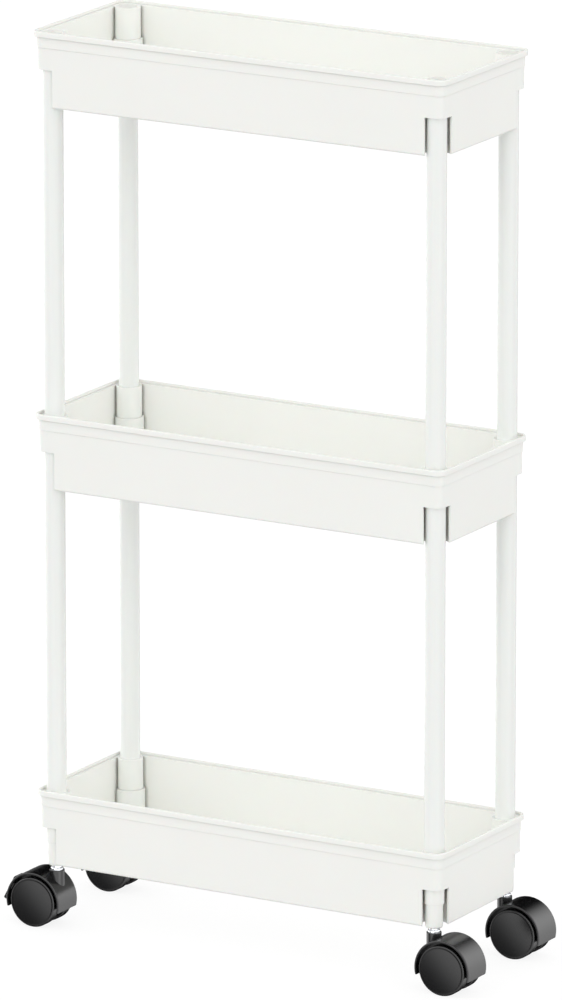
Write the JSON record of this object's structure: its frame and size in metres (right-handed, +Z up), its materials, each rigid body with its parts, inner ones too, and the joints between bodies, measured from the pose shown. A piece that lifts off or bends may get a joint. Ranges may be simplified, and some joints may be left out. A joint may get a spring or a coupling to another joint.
{
  "type": "rolling pantry cart",
  "caption": "Slim rolling cart: stacked shallow trays on round tubes, with hooded twin-wheel swivel casters, brakes on the casters at one end.",
  "frame": {"origin": "on the floor, under the middle of the trays", "axes": "+X along the long side towards the end whose casters have no brake, -Y out of the front long side, +Z up"},
  "size_m": [0.4293, 0.1446, 0.728],
  "materials": {
    "tray_plastic": "white injection-moulded polypropylene, satin",
    "tube_plastic": "white extruded polypropylene tube, smooth satin",
    "socket_plastic": "white moulded nylon, satin",
    "hood_plastic": "black moulded nylon, semi-gloss",
    "wheel_plastic": "black moulded polypropylene, fine satin",
    "lever_plastic": "black moulded nylon, satin",
    "plated_steel": "bright zinc-plated steel"
  },
  "bodies": {
    "root": {"tray_bottom": "tray_plastic", "tray_middle": "tray_plastic", "tray_top": "tray_plastic", "post_lower_front_left": "tube_plastic", "post_lower_rear_left": "tube_plastic", "post_lower_front_right": "tube_plastic", "post_lower_rear_right": "tube_plastic", "post_upper_front_left": "tube_plastic", "post_upper_rear_left": "tube_plastic", "post_upper_front_right": "tube_plastic", "post_upper_rear_right": "tube_plastic", "caster_socket_front_left": "socket_plastic", "caster_socket_rear_left": "socket_plastic", "caster_socket_front_right": "socket_plastic", "caster_socket_rear_right": "socket_plastic", "caster_stem_front_left": "plated_steel", "caster_stem_rear_left": "plated_steel", "caster_stem_front_right": "plated_steel", "caster_stem_rear_right": "plated_steel", "grip_ring_front_left": "plated_steel", "grip_ring_rear_left": "plated_steel", "grip_ring_front_right": "plated_steel", "grip_ring_rear_right": "plated_steel"},
    "caster_front_left": {"caster_housing_front_left": "hood_plastic", "axle_front_left": "plated_steel", "brake_pin_front_left": "plated_steel"},
    "wheel_outboard_front_left": {"wheel_outboard_front_left": "wheel_plastic"},
    "wheel_inboard_front_left": {"wheel_inboard_front_left": "wheel_plastic"},
    "brake_front_left": {"brake_lever_front_left": "lever_plastic"},
    "caster_rear_left": {"caster_housing_rear_left": "hood_plastic", "axle_rear_left": "plated_steel", "brake_pin_rear_left": "plated_steel"},
    "wheel_outboard_rear_left": {"wheel_outboard_rear_left": "wheel_plastic"},
    "wheel_inboard_rear_left": {"wheel_inboard_rear_left": "wheel_plastic"},
    "brake_rear_left": {"brake_lever_rear_left": "lever_plastic"},
    "caster_front_right": {"caster_housing_front_right": "hood_plastic", "axle_front_right": "plated_steel"},
    "wheel_outboard_front_right": {"wheel_outboard_front_right": "wheel_plastic"},
    "wheel_inboard_front_right": {"wheel_inboard_front_right": "wheel_plastic"},
    "caster_rear_right": {"caster_housing_rear_right": "hood_plastic", "axle_rear_right": "plated_steel"},
    "wheel_outboard_rear_right": {"wheel_outboard_rear_right": "wheel_plastic"},
    "wheel_inboard_rear_right": {"wheel_inboard_rear_right": "wheel_plastic"}
  },
  "joints": [
    {"name": "swivel_front_left", "type": "hinge", "parent": "root", "child": "caster_front_left", "pos_m": [-0.17175, -0.05675, 0.0465], "axis": [0, 0, 1], "continuous": true},
    {"name": "spin_outboard_front_left", "type": "hinge", "parent": "caster_front_left", "child": "wheel_outboard_front_left", "pos_m": [-0.18635, -0.05675, 0.02015], "axis": [0, 1, 0], "continuous": true},
    {"name": "spin_inboard_front_left", "type": "hinge", "parent": "caster_front_left", "child": "wheel_inboard_front_left", "pos_m": [-0.18635, -0.05675, 0.02015], "axis": [0, 1, 0], "continuous": true},
    {"name": "brake_front_left", "type": "hinge", "parent": "caster_front_left", "child": "brake_front_left", "pos_m": [-0.20095, -0.05675, 0.03375], "axis": [0, -1, 0], "range_deg": [0, 6.5]},
    {"name": "swivel_rear_left", "type": "hinge", "parent": "root", "child": "caster_rear_left", "pos_m": [-0.17175, 0.05675, 0.0465], "axis": [0, 0, 1], "continuous": true},
    {"name": "spin_outboard_rear_left", "type": "hinge", "parent": "caster_rear_left", "child": "wheel_outboard_rear_left", "pos_m": [-0.18635, 0.05675, 0.02015], "axis": [0, 1, 0], "continuous": true},
    {"name": "spin_inboard_rear_left", "type": "hinge", "parent": "caster_rear_left", "child": "wheel_inboard_rear_left", "pos_m": [-0.18635, 0.05675, 0.02015], "axis": [0, 1, 0], "continuous": true},
    {"name": "brake_rear_left", "type": "hinge", "parent": "caster_rear_left", "child": "brake_rear_left", "pos_m": [-0.20095, 0.05675, 0.03375], "axis": [0, -1, 0], "range_deg": [0, 6.5]},
    {"name": "swivel_front_right", "type": "hinge", "parent": "root", "child": "caster_front_right", "pos_m": [0.17175, -0.05675, 0.0465], "axis": [0, 0, 1], "continuous": true},
    {"name": "spin_outboard_front_right", "type": "hinge", "parent": "caster_front_right", "child": "wheel_outboard_front_right", "pos_m": [0.18635, -0.05675, 0.02015], "axis": [0, 1, 0], "continuous": true},
    {"name": "spin_inboard_front_right", "type": "hinge", "parent": "caster_front_right", "child": "wheel_inboard_front_right", "pos_m": [0.18635, -0.05675, 0.02015], "axis": [0, 1, 0], "continuous": true},
    {"name": "swivel_rear_right", "type": "hinge", "parent": "root", "child": "caster_rear_right", "pos_m": [0.17175, 0.05675, 0.0465], "axis": [0, 0, 1], "continuous": true},
    {"name": "spin_outboard_rear_right", "type": "hinge", "parent": "caster_rear_right", "child": "wheel_outboard_rear_right", "pos_m": [0.18635, 0.05675, 0.02015], "axis": [0, 1, 0], "continuous": true},
    {"name": "spin_inboard_rear_right", "type": "hinge", "parent": "caster_rear_right", "child": "wheel_inboard_rear_right", "pos_m": [0.18635, 0.05675, 0.02015], "axis": [0, 1, 0], "continuous": true}
  ]
}
